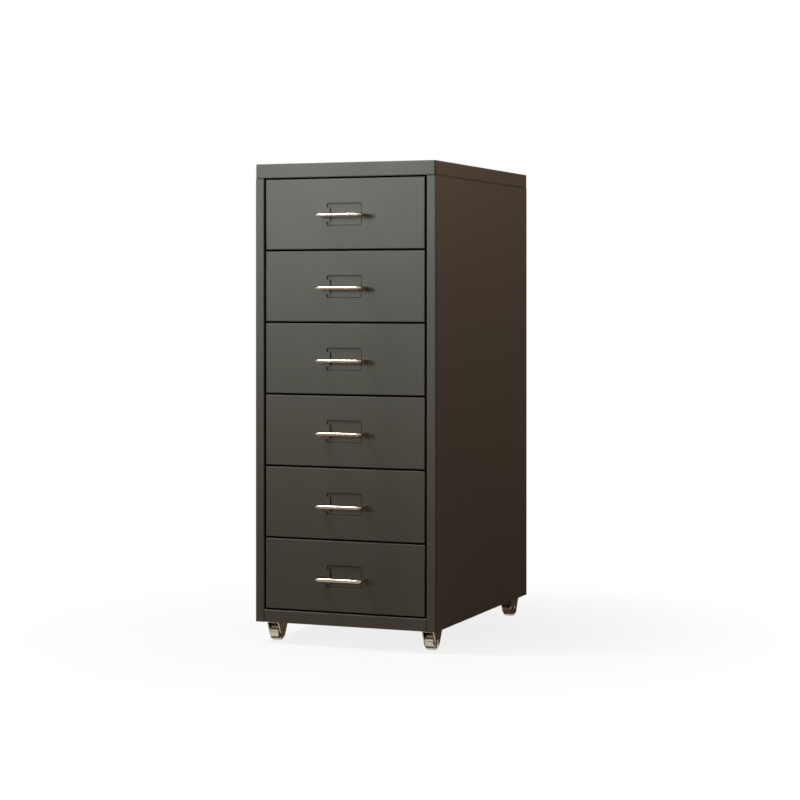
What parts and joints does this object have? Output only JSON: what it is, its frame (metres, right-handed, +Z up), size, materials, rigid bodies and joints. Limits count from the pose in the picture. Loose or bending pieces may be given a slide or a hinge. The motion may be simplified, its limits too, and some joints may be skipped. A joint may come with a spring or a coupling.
{
  "type": "drawer cabinet on castors",
  "caption": "Narrow sheet-steel drawer cabinet: folded casing, stacked flush drawers on channel runners with rod handles and label recesses, on small swivel castors.",
  "frame": {"origin": "on the floor, at the centre of the object's bounding box: midway across the width, and midway between the handles' front and the back", "axes": "+X to the right of someone facing the drawers, -Y out of the drawer fronts, +Z up"},
  "size_m": [0.28, 0.4388, 0.696],
  "materials": {
    "painted_steel": "semi-gloss dark warm grey powder coat",
    "drawer_paint": "semi-gloss dark warm grey powder coat",
    "drawer_inside": "semi-gloss dark warm grey powder coat",
    "zinc_steel": "bright zinc plate",
    "handle_metal": "satin nickel plate",
    "castor_metal": "bright nickel-chrome plate",
    "wheel_metal": "worn bright plate"
  },
  "bodies": {
    "casing": {"top_panel": "painted_steel", "left_side_panel": "painted_steel", "right_side_panel": "painted_steel", "back_panel": "painted_steel", "bottom_panel": "painted_steel", "left_runner_1": "zinc_steel", "left_runner_2": "zinc_steel", "left_runner_3": "zinc_steel", "left_runner_4": "zinc_steel", "left_runner_5": "zinc_steel", "left_runner_6": "zinc_steel", "right_runner_1": "zinc_steel", "right_runner_2": "zinc_steel", "right_runner_3": "zinc_steel", "right_runner_4": "zinc_steel", "right_runner_5": "zinc_steel", "right_runner_6": "zinc_steel", "lid_nuts": "zinc_steel", "back_screws": "zinc_steel", "castor_plates": "zinc_steel", "castor_nuts": "zinc_steel", "castor_stems": "castor_metal", "castor_balls": "zinc_steel"},
    "drawer_1": {"drawer_1_front": "drawer_paint", "drawer_1_tray": "drawer_inside", "drawer_1_handle": "handle_metal", "drawer_1_handle_nuts": "zinc_steel"},
    "drawer_2": {"drawer_2_front": "drawer_paint", "drawer_2_tray": "drawer_inside", "drawer_2_handle": "handle_metal", "drawer_2_handle_nuts": "zinc_steel"},
    "drawer_3": {"drawer_3_front": "drawer_paint", "drawer_3_tray": "drawer_inside", "drawer_3_handle": "handle_metal", "drawer_3_handle_nuts": "zinc_steel"},
    "drawer_4": {"drawer_4_front": "drawer_paint", "drawer_4_tray": "drawer_inside", "drawer_4_handle": "handle_metal", "drawer_4_handle_nuts": "zinc_steel"},
    "drawer_5": {"drawer_5_front": "drawer_paint", "drawer_5_tray": "drawer_inside", "drawer_5_handle": "handle_metal", "drawer_5_handle_nuts": "zinc_steel"},
    "drawer_6": {"drawer_6_front": "drawer_paint", "drawer_6_tray": "drawer_inside", "drawer_6_handle": "handle_metal", "drawer_6_handle_nuts": "zinc_steel"},
    "front_left_swivel": {"front_left_castor_fork": "castor_metal", "front_left_castor_axle": "zinc_steel"},
    "front_left_wheel": {"front_left_castor_wheel": "wheel_metal"},
    "front_right_swivel": {"front_right_castor_fork": "castor_metal", "front_right_castor_axle": "zinc_steel"},
    "front_right_wheel": {"front_right_castor_wheel": "wheel_metal"},
    "rear_left_swivel": {"rear_left_castor_fork": "castor_metal", "rear_left_castor_axle": "zinc_steel"},
    "rear_left_wheel": {"rear_left_castor_wheel": "wheel_metal"},
    "rear_right_swivel": {"rear_right_castor_fork": "castor_metal", "rear_right_castor_axle": "zinc_steel"},
    "rear_right_wheel": {"rear_right_castor_wheel": "wheel_metal"}
  },
  "joints": [
    {"name": "drawer_1_slide", "type": "slide", "parent": "casing", "child": "drawer_1", "axis": [0, -1, 0], "range_m": [0, 0.29]},
    {"name": "drawer_2_slide", "type": "slide", "parent": "casing", "child": "drawer_2", "axis": [0, -1, 0], "range_m": [0, 0.29]},
    {"name": "drawer_3_slide", "type": "slide", "parent": "casing", "child": "drawer_3", "axis": [0, -1, 0], "range_m": [0, 0.29]},
    {"name": "drawer_4_slide", "type": "slide", "parent": "casing", "child": "drawer_4", "axis": [0, -1, 0], "range_m": [0, 0.29]},
    {"name": "drawer_5_slide", "type": "slide", "parent": "casing", "child": "drawer_5", "axis": [0, -1, 0], "range_m": [0, 0.29]},
    {"name": "drawer_6_slide", "type": "slide", "parent": "casing", "child": "drawer_6", "axis": [0, -1, 0], "range_m": [0, 0.29]},
    {"name": "front_left_castor_swivel", "type": "hinge", "parent": "casing", "child": "front_left_swivel", "pos_m": [-0.121, -0.1514, 0.0285], "axis": [0, 0, 1], "continuous": true},
    {"name": "front_left_wheel_spin", "type": "hinge", "parent": "front_left_swivel", "child": "front_left_wheel", "pos_m": [-0.121, -0.1574, 0.0125], "axis": [1, 0, 0], "continuous": true},
    {"name": "front_right_castor_swivel", "type": "hinge", "parent": "casing", "child": "front_right_swivel", "pos_m": [0.121, -0.1514, 0.0285], "axis": [0, 0, 1], "continuous": true},
    {"name": "front_right_wheel_spin", "type": "hinge", "parent": "front_right_swivel", "child": "front_right_wheel", "pos_m": [0.121, -0.1574, 0.0125], "axis": [1, 0, 0], "continuous": true},
    {"name": "rear_left_castor_swivel", "type": "hinge", "parent": "casing", "child": "rear_left_swivel", "pos_m": [-0.121, 0.1816, 0.0285], "axis": [0, 0, 1], "continuous": true},
    {"name": "rear_left_wheel_spin", "type": "hinge", "parent": "rear_left_swivel", "child": "rear_left_wheel", "pos_m": [-0.121, 0.1876, 0.0125], "axis": [1, 0, 0], "continuous": true},
    {"name": "rear_right_castor_swivel", "type": "hinge", "parent": "casing", "child": "rear_right_swivel", "pos_m": [0.121, 0.1816, 0.0285], "axis": [0, 0, 1], "continuous": true},
    {"name": "rear_right_wheel_spin", "type": "hinge", "parent": "rear_right_swivel", "child": "rear_right_wheel", "pos_m": [0.121, 0.1876, 0.0125], "axis": [1, 0, 0], "continuous": true}
  ]
}
